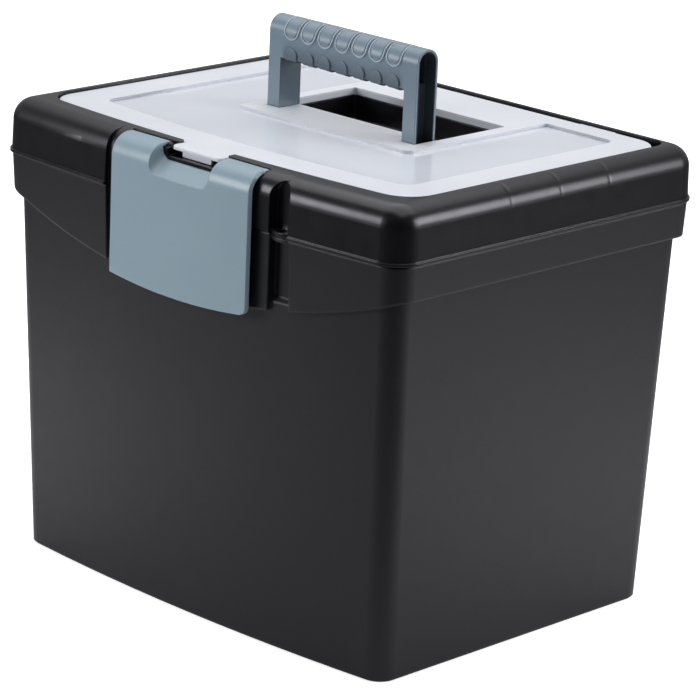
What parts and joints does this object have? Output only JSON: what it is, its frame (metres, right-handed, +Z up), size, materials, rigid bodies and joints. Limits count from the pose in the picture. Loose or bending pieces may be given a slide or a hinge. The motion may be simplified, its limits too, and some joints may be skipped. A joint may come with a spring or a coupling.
{
  "type": "portable file box",
  "caption": "Upright file box with a hinged lid, a shallow covered tray in the lid, a carrying handle that folds flat into a well, a front latch and a padlock groove.",
  "frame": {"origin": "middle of the tub's base between its corners, on the ground", "axes": "+Z up, -Y towards the latch side (front), +Y towards the hinges, +X towards the padlock groove's side"},
  "size_m": [0.3362, 0.275, 0.3367],
  "materials": {
    "black_plastic": "fine-grained satin moulding",
    "frosted_plastic": "frosted, with a glossy recess",
    "grey_plastic": "satin",
    "latch_plastic": "satin",
    "pin_steel": "bright drawn wire"
  },
  "bodies": {
    "tub": {"tub": "black_plastic", "lid_hinge_pin_left": "pin_steel", "lid_hinge_pin_right": "pin_steel"},
    "lid": {"lid": "black_plastic", "cover_hinge_pin_left": "pin_steel", "cover_hinge_pin_right": "pin_steel", "latch_pin_left": "pin_steel", "latch_pin_right": "pin_steel"},
    "cover": {"cover": "frosted_plastic", "handle_pin_left": "pin_steel", "handle_pin_right": "pin_steel"},
    "handle": {"handle": "grey_plastic"},
    "latch": {"latch": "latch_plastic"}
  },
  "joints": [
    {"name": "lid_open", "type": "hinge", "parent": "tub", "child": "lid", "pos_m": [0, 0.13329, 0.2499], "axis": [-1, 0, 0], "range_deg": [0, 105]},
    {"name": "cover_open", "type": "hinge", "parent": "lid", "child": "cover", "pos_m": [0, 0.10799, 0.2773], "axis": [-1, 0, 0], "range_deg": [0, 85]},
    {"name": "handle_fold", "type": "hinge", "parent": "cover", "child": "handle", "pos_m": [0, 0.0004, 0.2722], "axis": [-1, 0, 0], "range_deg": [0, 90]},
    {"name": "latch_swing", "type": "hinge", "parent": "lid", "child": "latch", "pos_m": [0, -0.12159, 0.2796], "axis": [-1, 0, 0], "range_deg": [0, 90]}
  ]
}
